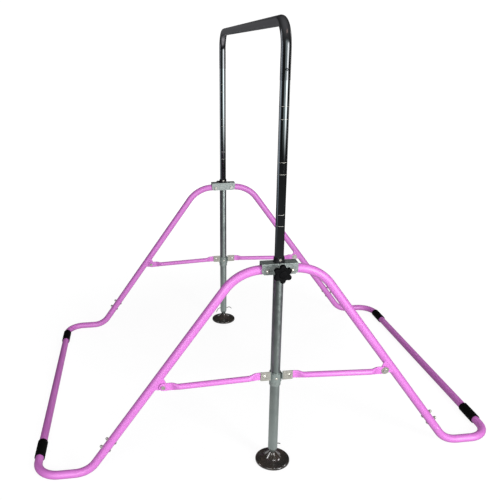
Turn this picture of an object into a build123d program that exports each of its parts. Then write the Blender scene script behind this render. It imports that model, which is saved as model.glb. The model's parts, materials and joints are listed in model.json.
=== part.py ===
"""Folding, height-adjustable kip bar: a steel bar on two telescopic posts, carried by two folding A-frames.

X runs along the bar, Y from the front frame (-Y) to the back frame (+Y), Z is up and the floor is z = 0.
The origin is on the floor, midway between the two posts. Millimetres throughout.
"""
from build123d import *
from math import atan2, cos, degrees, sin
import os

# --- Driving dimensions -------------------------------------------------------------------------------

POST_X = 610.0            # distance of each post's axis from the middle: the posts stand 1220 apart
BAR_Z = 1488.0            # height of the crossbar's axis at the top setting
BAR_BEND = 75.0           # bend radius of the crossbar's two corners
BAR_OD = 31.0
BAR_WALL = 1.8
BAR_JOINT_Z = 1329.0      # where each end of the crossbar meets its upper post

UPPER_OD = 30.0           # chromed upper post
UPPER_WALL = 2.0
UPPER_BOTTOM_Z = 565.0
SPIGOT_R = 13.5           # the upper post is drawn down to this radius where it enters the crossbar
SPIGOT_WALL = 1.6
SPIGOT_LENGTH = 62.0
BUTTON_R = 4.0            # snap button that holds the crossbar on each upper post
BUTTON_Z = BAR_JOINT_Z + 29.0
BUTTON_RISE = 1.6         # the button's dome
BUTTON_HOLE_R = BUTTON_R + 0.3
SPRING_X = (8.5, 10.4)    # the spring's moving and fixed arms, from the post's axis
SPRING_WIDTH = 8.0
SPRING_LEAF = 1.0
MARK_PITCH = 161.0        # spacing of the height marks: pairs of rolled grooves
MARK_COUNT = 3
MARK_HALF_GAP = 18.0      # each groove's distance from the middle of its pair
GROOVE_WIDTH = 1.6
GROOVE_DEPTH = 0.4

LOWER_OD = 34.0           # zinc-plated lower post
LOWER_WALL = 1.5
LOWER_BOTTOM_Z = 57.0

PINK_OD = 30.5            # every tube of the two folding frames
PINK_WALL = 1.8
APEX_Z = 755.0            # height of the frame tubes' axis inside the brackets
APEX_Y = 130.0            # corner of the frame's centreline where the level stub turns down the slope
APEX_BEND = 150.0
FLOOR_Z = 19.0            # height of the floor tubes' axis: the couplers stand on the floor
FLOOR_Y = 670.0           # corner of the centreline where the slope turns level
FLOOR_BEND = 95.0
BASE_Y = 855.0            # the base tube's distance from the middle
CORNER_BEND = 80.0        # bend from the level run into the base tube
SEAM = 79.0               # from the floor corner, up the slope, to the seam between elbow and leg
LEG_SPIGOT_R = 13.2
LEG_SPIGOT_WALL = 1.6
LEG_SPIGOT_LENGTH = 106.0
LEG_BOLTS = (118.0, 155.5)  # bolt places, up the slope from the floor corner
LEG_BOLT_R = 3.0
LEG_HOLE_R = LEG_BOLT_R + 0.2
PAN_HEAD = (6.5, 3.8)     # radius and height of the bolt heads under the legs
CAP_NUT_FLATS = 11.0
CAP_NUT_HEX = 5.0         # height of the cap nuts' hexagon, on the upper side of the legs
CAP_NUT_DOME = (5.0, 4.5)   # radius and height of their domes
BASE_JOINT_X = {-1: -483.0, 1: 458.0}  # joints between elbows and base tube, hidden under the couplers
BASE_SPIGOT_LENGTH = 60.0
COUPLER_R = 19.0
COUPLER_LENGTH = 92.0
COUPLER_CHAMFER = 0.8

PIVOT_Y = 40.0            # frame hinge: a bolt across the bracket
PIVOT_R = 4.0
STUB_END_Y = 28.0         # the frame tube stops this far from the post's axis
RUN = 0.06                # radial running clearance of the hinges

BRACKET_LENGTH = 118.0
BRACKET_WIDTH = 40.0
BRACKET_WALL = 2.5
BRACKET_TOP_Z = 779.5
BRACKET_BOTTOM_Z = 742.5
BRACKET_CHAMFER = 8.0
BRACKET_FOLD_R = 2.0
PIVOT_HEAD = (7.5, 4.5)   # radius and height of the hinge bolts' domed heads
PIVOT_TAIL = 5.0
WASHER_THICKNESS = 1.68

BUSH_BORE_R = UPPER_OD / 2 + 0.05
BUSH_HEIGHT = 16.5
RIVET_Z = BRACKET_TOP_Z + 11.0
RIVET_SEAT_X = 16.4       # flat seat cut into the bush for the rivet's flange
RIVET_BORE_R = 1.6
RIVET_TUBE_R = 2.0
RIVET_FLANGE_R = 3.9

LOCK_Z = 757.0            # axis of the locking screw
LOCK_NUT_FLATS = 16.0
LOCK_NUT_HEIGHT = 6.0
STUD_R = 5.0
STUD_TIP_R = 4.3
STUD_KNEE_X = 22.0        # the screw's plain tip starts here
KNOB_R = 31.0
KNOB_CORE_R = 22.5
KNOB_THICKNESS = 17.0
KNOB_LOBES = 6
LOBE_R = 8.5
KNOB_BORE = 14.0          # depth of the screw's seat, from the end of the boss
BOSS_R = 10.0
BOSS_LENGTH = 5.0
CAP_R = 12.0
CAP_RISE = 1.6
KNOB_TRAVEL = 4.5         # the locking screw moves this far inwards, in three turns
WASHER_X = BRACKET_WIDTH / 2 + 19.1
LOCK_WASHER = (9.5, 1.5)  # radius and thickness of the washer behind the knob

LINK_X = 26.0             # the links lie this far to the +X side of the posts, so they fold past the legs
LINK_R = 10.25
LINK_WALL = 1.5
EYE_X = (15.7, 20.7)      # the links' flattened ends, from the post's axis
EYE_R = 14.0
LINK_INNER = (43.0, 372.0)  # (y, z) of the rivet that joins a link to the slider
LINK_OUTER = (389.5, 358.0)  # (y, z) of the pivot at the leg's tab
EYE_FLAT = 26.0           # the flattened end runs this far from its hole, then swells into the tube
EYE_SWELL = 32.0
LINK_VENT_R = 2.0
LINK_HEAD_FLATS = 13.0
LINK_HEAD_HEIGHT = 4.5
LINK_WASHER = (13.5, 1.5)   # radius and thickness of the back links' washers
TAB_X = (11.3, 14.8)
TAB_REACH = 30.0          # the tab's weld runs this far up and down the leg from its hole

COLLAR_R = 20.0
COLLAR_Z = (326.0, 376.0)
STRAP_X = (21.1, 23.6)
COLLAR_WALL_R = LOWER_OD / 2 + 0.05
EAR_Y = (19.6, 56.0)
EAR_Z = (355.0, 388.5)
BAND_Z = (342.0, 374.0)
STRAP_SCREW_R = 2.5
SLIDER_HEAD = (6.0, 2.4)  # radius and height of the rivets' heads
SLIDER_TAIL_R = 6.5
SLIDER_TAIL = 2.2

FOOT_R = 63.0
HUB_TOP_Z = 40.0
STEM_R = 5.0
STEM_TOP_Z = 78.0
PLUG_TOP_Z = 78.0
PLUG_TIP_R = 9.5          # the plug tapers to this radius where it stands on the hub
CLIP_Z = 72.0
CLIP_R = 1.6
CLIP_HOLE_R = CLIP_R + 0.2

SLOPE = atan2(FLOOR_Y - APEX_Y, APEX_Z - FLOOR_Z)   # the legs' angle from vertical
BRACKET_INSIDE_Z = BRACKET_TOP_Z - BRACKET_WALL
SIDES = {"left": -1, "right": 1}
ENDS = {"front": -1, "back": 1}

parts = {}


# --- Shared shapes ------------------------------------------------------------------------------------

def rod(start, end, radius):
    """A solid cylinder from one point to another."""
    start = Vector(start)
    way = Vector(end) - start
    plane = Plane(origin=start, z_dir=way)
    return plane * Cylinder(radius, way.length, align=(Align.CENTER, Align.CENTER, Align.MIN))


def tube(start, end, outer, inner):
    """A straight tube between two points."""
    way = (Vector(end) - Vector(start)).normalized()
    return rod(start, end, outer) - rod(Vector(start) - way, Vector(end) + way, inner)


def ring(x, y, low, high, outer, inner):
    """An upright ring round the line (x, y)."""
    return tube((x, y, low), (x, y, high), outer, inner)


def bent_solid(points, radii, radius):
    """A round bar along straight runs joined by tangent arcs."""
    path = FilletPolyline(*points, radius=radii)
    section = Plane(origin=path @ 0, z_dir=path % 0) * Circle(radius)
    return sweep(section, path=path)


def bent_tube(points, radii, outer, inner):
    """A bent tube, open at both ends."""
    path = FilletPolyline(*points, radius=radii)
    plane = Plane(origin=path @ 0, z_dir=path % 0)
    section = plane * (Circle(outer) - Circle(inner))
    return sweep(section, path=path)


def hex_prism(start, end, across_flats):
    """A hexagonal prism from one point to another."""
    start = Vector(start)
    way = Vector(end) - start
    plane = Plane(origin=start, z_dir=way)
    return extrude(plane * RegularPolygon(across_flats / 2, 6, major_radius=False), way.length)


def dome_head(seat, way, radius, height):
    """A domed screw head that stands on the point seat and rises along way."""
    sphere_r = (radius ** 2 + height ** 2) / (2 * height)
    plane = Plane(origin=Vector(seat), z_dir=Vector(way))
    ball = plane * Pos(0, 0, height - sphere_r) * Sphere(sphere_r)
    return ball & (plane * Cylinder(radius, height, align=(Align.CENTER, Align.CENTER, Align.MIN)))


def slab(plane, face, thickness):
    """A flat plate: a sketch drawn on the plane, thickened along the plane's normal."""
    return extrude(plane * face, thickness)


def side_plane(x):
    """A plane square to X at the given x, whose own axes are the object's Y and Z."""
    return Plane(origin=(x, 0, 0), x_dir=(0, 1, 0), z_dir=(1, 0, 0))


def slope_point(end, along, off=0.0):
    """(y, z) on a leg: along, up the slope from the floor corner, and off, outwards from its centreline."""
    y = FLOOR_Y - along * sin(SLOPE) + off * cos(SLOPE)
    z = FLOOR_Z + along * cos(SLOPE) + off * sin(SLOPE)
    return end * y, z


# --- Posts, brackets and feet -------------------------------------------------------------------------

def lower_post(side):
    x = side * POST_X
    body = ring(x, 0, LOWER_BOTTOM_Z, BRACKET_INSIDE_Z, LOWER_OD / 2, LOWER_OD / 2 - LOWER_WALL)
    screw_hole = rod((x, 0, LOCK_Z), (x + side * LOWER_OD, 0, LOCK_Z), STUD_R + 0.3)
    clip_hole = rod((x, -LOWER_OD, CLIP_Z), (x, LOWER_OD, CLIP_Z), CLIP_HOLE_R)
    return body - screw_hole - clip_hole


def bracket(side):
    """Inverted channel across the top of the lower post, with its lower corners cut off."""
    x = side * POST_X
    half = BRACKET_LENGTH / 2
    cut = BRACKET_CHAMFER
    outline = Polyline((-half, BRACKET_TOP_Z), (half, BRACKET_TOP_Z), (half, BRACKET_BOTTOM_Z + cut),
                       (half - cut, BRACKET_BOTTOM_Z), (cut - half, BRACKET_BOTTOM_Z),
                       (-half, BRACKET_BOTTOM_Z + cut), close=True)
    block = slab(side_plane(x - BRACKET_WIDTH / 2), make_face(outline), BRACKET_WIDTH)
    block = fillet(block.edges().filter_by(Axis.Y).group_by(Axis.Z)[-1], BRACKET_FOLD_R)
    inside_width = BRACKET_WIDTH - 2 * BRACKET_WALL
    inside = Box(inside_width, BRACKET_LENGTH + 2, 2 * BRACKET_WIDTH)
    inside = Pos(x, 0, BRACKET_INSIDE_Z - BRACKET_WIDTH) * inside
    channel = block - inside
    channel -= rod((x, 0, BRACKET_INSIDE_Z - 1), (x, 0, BRACKET_TOP_Z + 1), UPPER_OD / 2 + 0.5)
    for y in (-PIVOT_Y, PIVOT_Y):
        channel -= rod((x - BRACKET_WIDTH, y, APEX_Z), (x + BRACKET_WIDTH, y, APEX_Z), PIVOT_R + 0.05)
    channel -= rod((x, 0, LOCK_Z), (x + side * BRACKET_WIDTH, 0, LOCK_Z), STUD_R + 0.5)
    return channel


def post_bush(side):
    """Moulded bush on top of the bracket, which guides the upper post."""
    x = side * POST_X
    low = BRACKET_TOP_Z
    high = low + BUSH_HEIGHT
    profile = Polyline((BUSH_BORE_R, low), (19, low), (19, low + 2.5), (18, low + 5.5), (17.4, high - 1),
                       (16.6, high), (BUSH_BORE_R, high), close=True)
    body = Pos(x, 0, 0) * revolve(Plane.XZ * make_face(profile), axis=Axis.Z)
    for way in (-1, 1):
        far = (x + way * 2 * BUSH_BORE_R, 0, RIVET_Z)
        body -= rod((x + way * (BUSH_BORE_R - 1), 0, RIVET_Z), far, RIVET_TUBE_R + 0.1)
        body -= rod((x + way * RIVET_SEAT_X, 0, RIVET_Z), far, RIVET_FLANGE_R + 0.2)
    return body


def bush_rivets():
    """Tubular rivets in both X faces of each bush."""
    group = []
    for side in SIDES.values():
        for way in (-1, 1):
            def at(x):
                return (side * POST_X + way * x, 0, RIVET_Z)

            flange_start = RIVET_SEAT_X + 0.05
            body = rod(at(BUSH_BORE_R + 0.25), at(flange_start + 0.5), RIVET_TUBE_R)
            body += rod(at(flange_start), at(flange_start + 1.7), RIVET_FLANGE_R)
            group.append(body - rod(at(RIVET_SEAT_X), at(RIVET_SEAT_X + 3), RIVET_BORE_R))
    return group


def pivot_places():
    return [(side, end) for side in SIDES.values() for end in ENDS.values()]


def pivot_bolts():
    """Hinge bolts of the two frames: a domed head on the outer face and a riveted tail inside."""
    group = []
    half = BRACKET_WIDTH / 2
    for side, end in pivot_places():
        x = side * POST_X
        y = end * PIVOT_Y
        shank = rod((x - side * (half + 3.5), y, APEX_Z), (x + side * (half + 0.5), y, APEX_Z), PIVOT_R)
        head = dome_head((x + side * half, y, APEX_Z), (side, 0, 0), *PIVOT_HEAD)
        tail_end = (x - side * (half + PIVOT_TAIL), y, APEX_Z)
        tail = hex_prism((x - side * half, y, APEX_Z), tail_end, LINK_HEAD_FLATS)
        group.append(shank + head + tail)
    return group


def pivot_washers():
    """Nylon washers that keep each frame tube in the middle of its bracket."""
    group = []
    inner_face = BRACKET_WIDTH / 2 - BRACKET_WALL
    for side, end in pivot_places():
        y = end * PIVOT_Y
        for way in (-1, 1):
            start = side * POST_X + way * (inner_face - 0.02 - WASHER_THICKNESS)
            stop = side * POST_X + way * (inner_face - 0.02)
            group.append(tube((start, y, APEX_Z), (stop, y, APEX_Z), 8.5, PIVOT_R + 0.1))
    return group


def lock_nuts():
    """Nuts welded to the outer flanges, in which the locking screws turn."""
    group = []
    for side in SIDES.values():
        x = side * (POST_X + BRACKET_WIDTH / 2)
        outer_face = x + side * LOCK_NUT_HEIGHT
        nut = hex_prism((x, 0, LOCK_Z), (outer_face, 0, LOCK_Z), LOCK_NUT_FLATS)
        group.append(nut - rod((x - side, 0, LOCK_Z), (outer_face + side, 0, LOCK_Z), STUD_R + 0.05))
    return group


def foot_disc(side):
    """Thick bell-shaped foot with a steep hub, hollow underneath, standing on its flat rim."""
    bore = STEM_R + 0.05
    outside = [(60.5, 0), (FOOT_R, 3.5), (FOOT_R, 8.5), (61, 10.8), (50, 12.6), (36, 15.2), (29, 18.5),
               (22, 25.5), (15.5, 33), (11.5, 38), (10.5, HUB_TOP_Z)]
    inside = [(bore, HUB_TOP_Z), (bore, 28), (13, 24), (22, 16), (32, 10.5), (48, 8), (51, 0)]
    profile = Polyline(*outside, *inside, close=True)
    return Pos(side * POST_X, 0, 0) * revolve(Plane.XZ * make_face(profile), axis=Axis.Z)


def across_foot(x, radius):
    """The hole for the wire clip, through the foot of a post."""
    return rod((x, -LOWER_OD, CLIP_Z), (x, LOWER_OD, CLIP_Z), radius)


def foot_stems():
    """Threaded stems between the feet and the posts."""
    group = []
    for side in SIDES.values():
        x = side * POST_X
        group.append(rod((x, 0, 29), (x, 0, STEM_TOP_Z), STEM_R) - across_foot(x, CLIP_HOLE_R))
    return group


def foot_plugs():
    """Plugs that close the posts' lower ends, taper down to the hubs and carry the stems."""
    group = []
    bore = STEM_R + 0.05
    inner = LOWER_OD / 2 - LOWER_WALL - 0.05
    low = HUB_TOP_Z + 0.05
    for side in SIDES.values():
        x = side * POST_X
        profile = Polyline((bore, low), (PLUG_TIP_R, low), (LOWER_OD / 2 - 0.5, LOWER_BOTTOM_Z - 3),
                           (LOWER_OD / 2, LOWER_BOTTOM_Z - 0.02), (inner, LOWER_BOTTOM_Z - 0.02),
                           (inner, PLUG_TOP_Z), (bore, PLUG_TOP_Z), close=True)
        plug = Pos(x, 0, 0) * revolve(Plane.XZ * make_face(profile), axis=Axis.Z)
        group.append(plug - across_foot(x, CLIP_HOLE_R))
    return group


def foot_clips():
    """Bent wire clips across the feet: two curved tails on the left post, a short one on the right."""
    z = CLIP_Z
    paths = {-1: ([(-40, z - 24), (-31, z - 5), (-20, z), (22, z), (33, z + 4), (45, z - 7)], [9, 9, 8, 8]),
             1: ([(-16.5, z), (22, z), (28, z - 3)], [5])}
    group = []
    for side, (bends, radii) in paths.items():
        points = [(side * POST_X, y, height) for y, height in bends]
        group.append(bent_solid(points, radii, CLIP_R))
    return group


# --- Bar assembly -------------------------------------------------------------------------------------

def crossbar():
    """Bar and its two bent-down ends in one tube, with a hole for the snap button in each end."""
    points = [(-POST_X, 0, BAR_JOINT_Z), (-POST_X, 0, BAR_Z), (POST_X, 0, BAR_Z), (POST_X, 0, BAR_JOINT_Z)]
    bar = bent_tube(points, BAR_BEND, BAR_OD / 2, BAR_OD / 2 - BAR_WALL)
    for side in SIDES.values():
        bar -= rod((side * POST_X, 0, BUTTON_Z), (side * (POST_X + BAR_OD), 0, BUTTON_Z), BUTTON_HOLE_R)
    return bar


def upper_post(side):
    """Chromed post, drawn down at the top, with pairs of rolled grooves that mark the heights."""
    x = side * POST_X
    outer = UPPER_OD / 2
    top = BAR_JOINT_Z + SPIGOT_LENGTH
    body = rod((x, 0, UPPER_BOTTOM_Z), (x, 0, BAR_JOINT_Z), outer)
    body += rod((x, 0, BAR_JOINT_Z - SPIGOT_LENGTH), (x, 0, top), SPIGOT_R)
    body -= rod((x, 0, UPPER_BOTTOM_Z - 1), (x, 0, BAR_JOINT_Z - 4), outer - UPPER_WALL)
    body -= rod((x, 0, BAR_JOINT_Z - 5), (x, 0, top + 1), SPIGOT_R - SPIGOT_WALL)
    for step in range(1, MARK_COUNT + 1):
        middle = LOCK_Z + step * MARK_PITCH
        for z in (middle - MARK_HALF_GAP, middle + MARK_HALF_GAP):
            body -= ring(x, 0, z - GROOVE_WIDTH / 2, z + GROOVE_WIDTH / 2, outer + 1, outer - GROOVE_DEPTH)
    return body - rod((x, 0, BUTTON_Z), (x + side * UPPER_OD, 0, BUTTON_Z), BUTTON_HOLE_R)


def post_end_plugs():
    """Plastic plugs in the upper posts' lower ends; their rims slide in the lower posts."""
    group = []
    rim = LOWER_OD / 2 - LOWER_WALL - 0.06
    for side in SIDES.values():
        x = side * POST_X
        plug = rod((x, 0, UPPER_BOTTOM_Z - 5), (x, 0, UPPER_BOTTOM_Z), rim)
        plug += rod((x, 0, UPPER_BOTTOM_Z), (x, 0, UPPER_BOTTOM_Z + 22), UPPER_OD / 2 - UPPER_WALL - 0.05)
        group.append(plug)
    return group


def snap_button(side):
    """Button that holds the crossbar on its post, on the moving arm of its leaf spring."""
    x = side * POST_X
    root = x + side * SPRING_X[0]
    shoulder = x + side * (BAR_OD / 2 + 0.7)
    arm = Pos(root, 0, BUTTON_Z - 16) * Box(SPRING_LEAF, SPRING_WIDTH, 44)
    pin = rod((root, 0, BUTTON_Z), (shoulder, 0, BUTTON_Z), BUTTON_R)
    return arm + pin + dome_head((shoulder, 0, BUTTON_Z), (side, 0, 0), BUTTON_R, BUTTON_RISE)


def snap_springs():
    """Fixed arms of the leaf springs, lying against the far side of each post's upper end."""
    group = []
    foot_length = 17.4
    for side in SIDES.values():
        x = side * POST_X
        back = x - side * SPRING_X[1]
        arm = Pos(back, 0, BUTTON_Z - 16) * Box(SPRING_LEAF, SPRING_WIDTH, 50)
        foot_x = back + side * (foot_length - SPRING_LEAF) / 2
        group.append(arm + Pos(foot_x, 0, BUTTON_Z - 41.5) * Box(foot_length, SPRING_WIDTH, SPRING_LEAF))
    return group


# --- Folding frames -----------------------------------------------------------------------------------

def across_leg(side, end, along, low, high, radius):
    """A round pin square to the leg, from off = low to off = high."""
    x = side * POST_X
    return rod((x, *slope_point(end, along, low)), (x, *slope_point(end, along, high)), radius)


def leg(side, end):
    """Upper leg tube: level stub in the bracket, a long bend and the slope down to the seam."""
    x = side * POST_X
    foot_y, foot_z = slope_point(end, SEAM)
    points = [(x, end * STUB_END_Y, APEX_Z), (x, end * APEX_Y, APEX_Z), (x, foot_y, foot_z)]
    body = bent_tube(points, APEX_BEND, PINK_OD / 2, PINK_OD / 2 - PINK_WALL)
    y = end * PIVOT_Y
    body -= rod((x - PINK_OD, y, APEX_Z), (x + PINK_OD, y, APEX_Z), PIVOT_R + RUN)
    for along in LEG_BOLTS:
        body -= across_leg(side, end, along, -PINK_OD, PINK_OD, LEG_HOLE_R)
    return body


def elbow(side, end):
    """Lower corner tube: drawn-down spigots at both ends, one bend to the floor and one along the base."""
    x = side * POST_X
    seam = (x, *slope_point(end, SEAM))
    top = (x, *slope_point(end, SEAM + LEG_SPIGOT_LENGTH))
    joint = (BASE_JOINT_X[side], end * BASE_Y, FLOOR_Z)
    inner_end = (BASE_JOINT_X[side] - side * BASE_SPIGOT_LENGTH, end * BASE_Y, FLOOR_Z)
    points = [seam, (x, end * FLOOR_Y, FLOOR_Z), (x, end * BASE_Y, FLOOR_Z), joint]
    radii = [FLOOR_BEND, CORNER_BEND]
    bore = LEG_SPIGOT_R - LEG_SPIGOT_WALL
    body = bent_tube(points, radii, PINK_OD / 2, bore)
    body += tube(seam, top, LEG_SPIGOT_R, bore)
    body += tube(joint, inner_end, LEG_SPIGOT_R, bore)
    for along in LEG_BOLTS:
        body -= across_leg(side, end, along, -PINK_OD, PINK_OD, LEG_HOLE_R)
    return body


def base_tube(end):
    start = (BASE_JOINT_X[-1] + 0.3, end * BASE_Y, FLOOR_Z)
    stop = (BASE_JOINT_X[1] - 0.3, end * BASE_Y, FLOOR_Z)
    return tube(start, stop, PINK_OD / 2, PINK_OD / 2 - PINK_WALL)


def couplers(end):
    """Black sleeves over the two joints of the base tube."""
    group = []
    for side in SIDES.values():
        middle = BASE_JOINT_X[side]
        start = (middle - COUPLER_LENGTH / 2, end * BASE_Y, FLOOR_Z)
        stop = (middle + COUPLER_LENGTH / 2, end * BASE_Y, FLOOR_Z)
        sleeve = tube(start, stop, COUPLER_R, PINK_OD / 2 + 0.02)
        rims = sleeve.edges().filter_by(GeomType.CIRCLE)
        outer_rims = [edge for edge in rims if edge.radius > COUPLER_R - 0.1]
        group.append(chamfer(outer_rims, COUPLER_CHAMFER))
    return group


def leg_bolts(end):
    """Pan-head bolts across the leg joints, with their heads on the under side."""
    group = []
    surface = PINK_OD / 2 + 0.03
    inwards = (0, -end * cos(SLOPE), -sin(SLOPE))
    for side in SIDES.values():
        for along in LEG_BOLTS:
            seat = (side * POST_X, *slope_point(end, along, -surface))
            shank = across_leg(side, end, along, -surface - 1, surface + CAP_NUT_HEX, LEG_BOLT_R)
            group.append(shank + dome_head(seat, inwards, *PAN_HEAD))
    return group


def leg_nuts(end):
    """Domed cap nuts on the upper side of the leg joints."""
    group = []
    surface = PINK_OD / 2 + 0.03
    shoulder = surface + CAP_NUT_HEX
    outwards = (0, end * cos(SLOPE), sin(SLOPE))
    for side in SIDES.values():
        x = side * POST_X
        for along in LEG_BOLTS:
            foot = (x, *slope_point(end, along, surface))
            neck = (x, *slope_point(end, along, shoulder))
            nut = hex_prism(foot, neck, CAP_NUT_FLATS)
            nut += dome_head((x, *slope_point(end, along, shoulder - 0.01)), outwards, *CAP_NUT_DOME)
            group.append(nut - across_leg(side, end, along, 0, shoulder + 0.6, LEG_BOLT_R + 0.05))
    return group


def link_tabs(end):
    """Plates welded to the legs, with the hole for the links' outer pivot."""
    group = []
    along = (LINK_OUTER[1] - FLOOR_Z) * cos(SLOPE) + (FLOOR_Y - LINK_OUTER[0]) * sin(SLOPE)
    y, z = end * LINK_OUTER[0], LINK_OUTER[1]
    for side in SIDES.values():
        x = side * POST_X + TAB_X[0]
        upper = slope_point(end, along + TAB_REACH)
        lower = slope_point(end, along - TAB_REACH)
        nose = Pos(y, z) * Circle(EYE_R)
        web = make_hull((nose + Pos(*upper) * Circle(2) + Pos(*lower) * Circle(2)).edges())
        plate = slab(side_plane(x), web, TAB_X[1] - TAB_X[0])
        start = (side * POST_X, *slope_point(end, along - 3 * TAB_REACH))
        stop = (side * POST_X, *slope_point(end, along + 3 * TAB_REACH))
        plate -= rod(start, stop, PINK_OD / 2 + 0.02)
        plate = plate.solids().sort_by_distance((x, y, z))[0]
        group.append(plate - rod((x - 5, y, z), (x + 10, y, z), PIVOT_R + 0.2))
    return group


# --- Slider and links ---------------------------------------------------------------------------------

def slider_collar(side):
    """Sleeve that slides on the lower post."""
    return ring(side * POST_X, 0, *COLLAR_Z, COLLAR_R, COLLAR_WALL_R)


def slider_strap(side):
    """Pressed strap round the front of the collar, with an ear for a link on each side."""
    x = side * POST_X
    band_r = STRAP_X[1] - 1.0
    band = ring(x, 0, *BAND_Z, band_r, COLLAR_R + 0.03)
    band -= Pos(x - 50 + 3, 0, 360) * Box(100, 100, 100)
    strap = band
    height = EAR_Z[1] - EAR_Z[0]
    middle_z = sum(EAR_Z) / 2
    thickness = STRAP_X[1] - STRAP_X[0]
    for end in ENDS.values():
        plate_y = end * sum(EAR_Y) / 2
        plate = Box(thickness, EAR_Y[1] - EAR_Y[0], height)
        plate = fillet(plate.edges().filter_by(Axis.X), 2.0)
        strap += Pos(x + sum(STRAP_X) / 2, plate_y, middle_z) * plate
        flange = Box(STRAP_X[1] - 3, thickness, BAND_Z[1] - EAR_Z[0])
        flange_z = (BAND_Z[1] + EAR_Z[0]) / 2
        strap += Pos(x + (STRAP_X[1] + 3) / 2, end * (EAR_Y[0] + thickness / 2), flange_z) * flange
        y, z = end * LINK_INNER[0], LINK_INNER[1]
        strap -= rod((x, y, z), (x + 30, y, z), PIVOT_R + 0.05)
    screw_z = sum(BAND_Z) / 2
    strap -= rod((x + 15, 0, screw_z), (x + 30, 0, screw_z), STRAP_SCREW_R + 0.1)
    collar_core = ring(x, 0, COLLAR_Z[0] - 1, COLLAR_Z[1] + 20, COLLAR_R + 0.03, 1)
    return strap - collar_core


def slider_rivets(side):
    """Rivets that the links turn on, and the screw that holds the strap on its collar."""
    x = side * POST_X
    group = []
    for end in ENDS.values():
        y, z = end * LINK_INNER[0], LINK_INNER[1]
        tail_x = x + EYE_X[0] - 0.2
        shank = rod((tail_x - SLIDER_TAIL, y, z), (x + STRAP_X[1] + 0.5, y, z), PIVOT_R)
        tail = rod((tail_x - SLIDER_TAIL, y, z), (tail_x, y, z), SLIDER_TAIL_R)
        group.append(shank + tail + dome_head((x + STRAP_X[1], y, z), (1, 0, 0), *SLIDER_HEAD))
    screw_z = sum(BAND_Z) / 2
    shank = rod((x + COLLAR_R + 0.2, 0, screw_z), (x + STRAP_X[1] - 0.5, 0, screw_z), STRAP_SCREW_R)
    head = dome_head((x + STRAP_X[1] - 1.0, 0, screw_z), (1, 0, 0), 2 * STRAP_SCREW_R, 2.2)
    group.append(shank + head)
    return group


def link(side, end):
    """Tube with both ends flattened towards the post; it joins the slider to the tab on a leg."""
    x = side * POST_X
    inner = Vector(0, end * LINK_INNER[0], LINK_INNER[1])
    outer = Vector(0, end * LINK_OUTER[0], LINK_OUTER[1])
    way = (outer - inner).normalized()
    plate_x = x + sum(EYE_X) / 2
    thickness = EYE_X[1] - EYE_X[0]
    swell_end = EYE_FLAT + EYE_SWELL

    def section(at, middle_x, face):
        plane = Plane(origin=at + Vector(middle_x, 0, 0), x_dir=(1, 0, 0), z_dir=way)
        return plane * face

    near = inner + way * swell_end
    far = outer - way * swell_end
    tube_x = Vector(x + LINK_X, 0, 0)
    body = rod(tube_x + near, tube_x + far, LINK_R)
    bore = rod(tube_x + near, tube_x + far, LINK_R - LINK_WALL)
    for eye, inwards in ((inner, way), (outer, way * -1)):
        flat = section(eye + inwards * EYE_FLAT, plate_x, Ellipse(thickness / 2, EYE_R))
        full = section(eye + inwards * swell_end, x + LINK_X, Circle(LINK_R))
        body += loft([flat, full])
        body += rod((x + EYE_X[0], eye.Y, eye.Z), (x + EYE_X[1], eye.Y, eye.Z), EYE_R)
        middle = eye + inwards * (EYE_FLAT / 2)
        plane = Plane(origin=middle + Vector(plate_x, 0, 0), x_dir=(1, 0, 0), z_dir=way)
        body += plane * Box(thickness, 2 * EYE_R, EYE_FLAT + 0.5)
    body -= bore
    vent = tube_x + (inner + outer) / 2
    body -= rod(vent, vent - Vector(0, 0, 2 * LINK_R), LINK_VENT_R)
    for eye, radius in ((inner, PIVOT_R + RUN), (outer, PIVOT_R + 0.05)):
        body -= rod((x, eye.Y, eye.Z), (x + 30, eye.Y, eye.Z), radius)
    return body


def link_bolt(side, end):
    """Outer pivot bolt of a link; the back links' bolts have a wide washer under the head."""
    x = side * POST_X
    y, z = end * LINK_OUTER[0], LINK_OUTER[1]
    washer_r, washer_thickness = LINK_WASHER
    face = x + EYE_X[1] + 0.02
    seat = face + washer_thickness if end > 0 else face
    body = rod((x + EYE_X[0] + 0.1, y, z), (seat, y, z), PIVOT_R)
    body += hex_prism((seat, y, z), (seat + LINK_HEAD_HEIGHT, y, z), LINK_HEAD_FLATS)
    if end > 0:
        body += rod((face, y, z), (seat, y, z), washer_r)
    return body


# --- Locking knobs ------------------------------------------------------------------------------------

def upright_cylinder(low, high, radius):
    return Pos(0, 0, low) * Cylinder(radius, high - low, align=(Align.CENTER, Align.CENTER, Align.MIN))


def knob(side):
    """Star knob with six lobes, moulded round the end of its screw."""
    star = Circle(KNOB_CORE_R)
    star += PolarLocations(KNOB_R - LOBE_R, KNOB_LOBES, start_angle=90) * Circle(LOBE_R)
    body = extrude(star, KNOB_THICKNESS)
    body = chamfer(body.edges().group_by(Axis.Z)[-1], 2.5)
    body = chamfer(body.edges().group_by(Axis.Z)[0], 1.5)
    body += upright_cylinder(-BOSS_LENGTH, 1, BOSS_R)
    body += upright_cylinder(KNOB_THICKNESS, KNOB_THICKNESS + CAP_RISE, CAP_R)
    body -= upright_cylinder(-BOSS_LENGTH - 1, KNOB_BORE - BOSS_LENGTH, STUD_R + 0.02)
    back = POST_X + WASHER_X + LOCK_WASHER[1] + 0.1 + BOSS_LENGTH
    return Plane(origin=(side * back, 0, LOCK_Z), x_dir=(0, side, 0), z_dir=(side, 0, 0)) * body


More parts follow.
